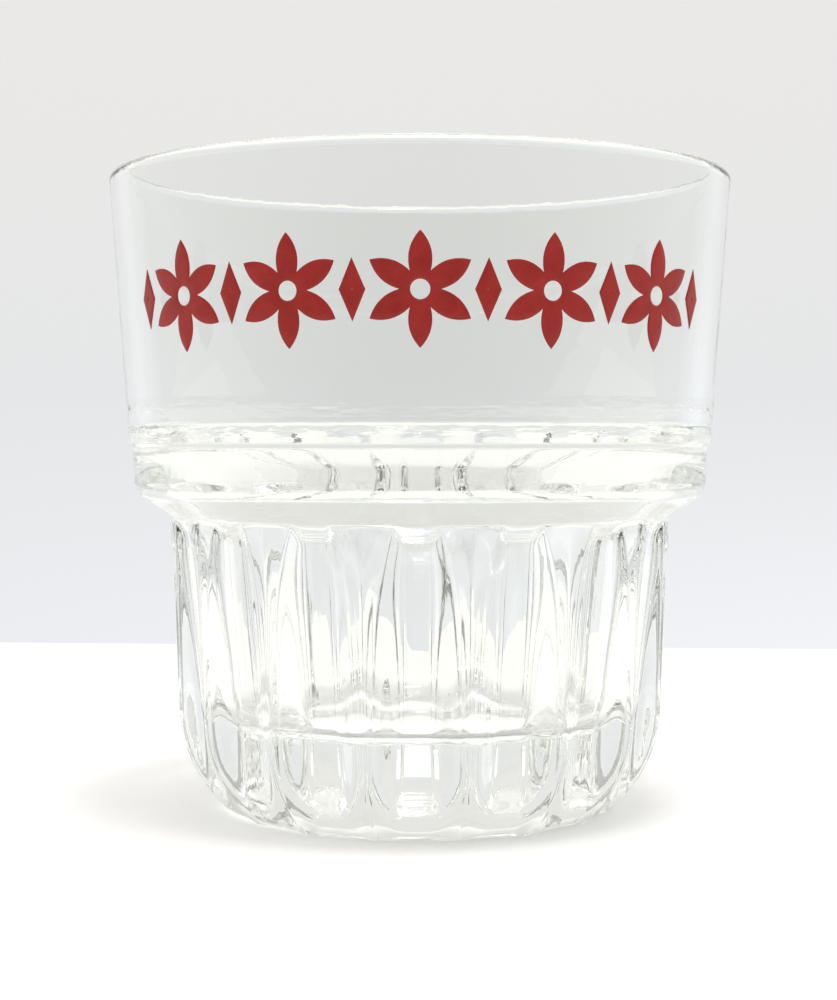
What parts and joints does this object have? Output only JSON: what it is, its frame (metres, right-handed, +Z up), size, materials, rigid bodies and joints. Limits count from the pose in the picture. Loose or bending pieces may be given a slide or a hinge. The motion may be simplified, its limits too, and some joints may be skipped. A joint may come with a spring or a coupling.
{
  "type": "tea glass",
  "caption": "Heavy pressed tumbler for tea: flared plain bowl, thick collar with a sloping ledge, and a narrower ribbed foot; red frieze on the front.",
  "frame": {"origin": "middle of the foot, on the surface that the glass stands on", "axes": "+Z up along the glass's axis of revolution; the printed side faces -Y; +X is to the right as the print is seen"},
  "size_m": [0.0782, 0.0782, 0.0804],
  "materials": {
    "clear_glass": "fire-polished pressed soda-lime glass",
    "red_enamel": "fired glass enamel, satin"
  },
  "bodies": {
    "root": {"tumbler": "clear_glass", "print_rosette_1": "red_enamel", "print_rosette_2": "red_enamel", "print_rosette_3": "red_enamel", "print_rosette_4": "red_enamel", "print_rosette_5": "red_enamel", "print_lozenge_1": "red_enamel", "print_lozenge_2": "red_enamel", "print_lozenge_3": "red_enamel", "print_lozenge_4": "red_enamel", "print_lozenge_5": "red_enamel", "print_lozenge_6": "red_enamel"}
  },
  "joints": []
}
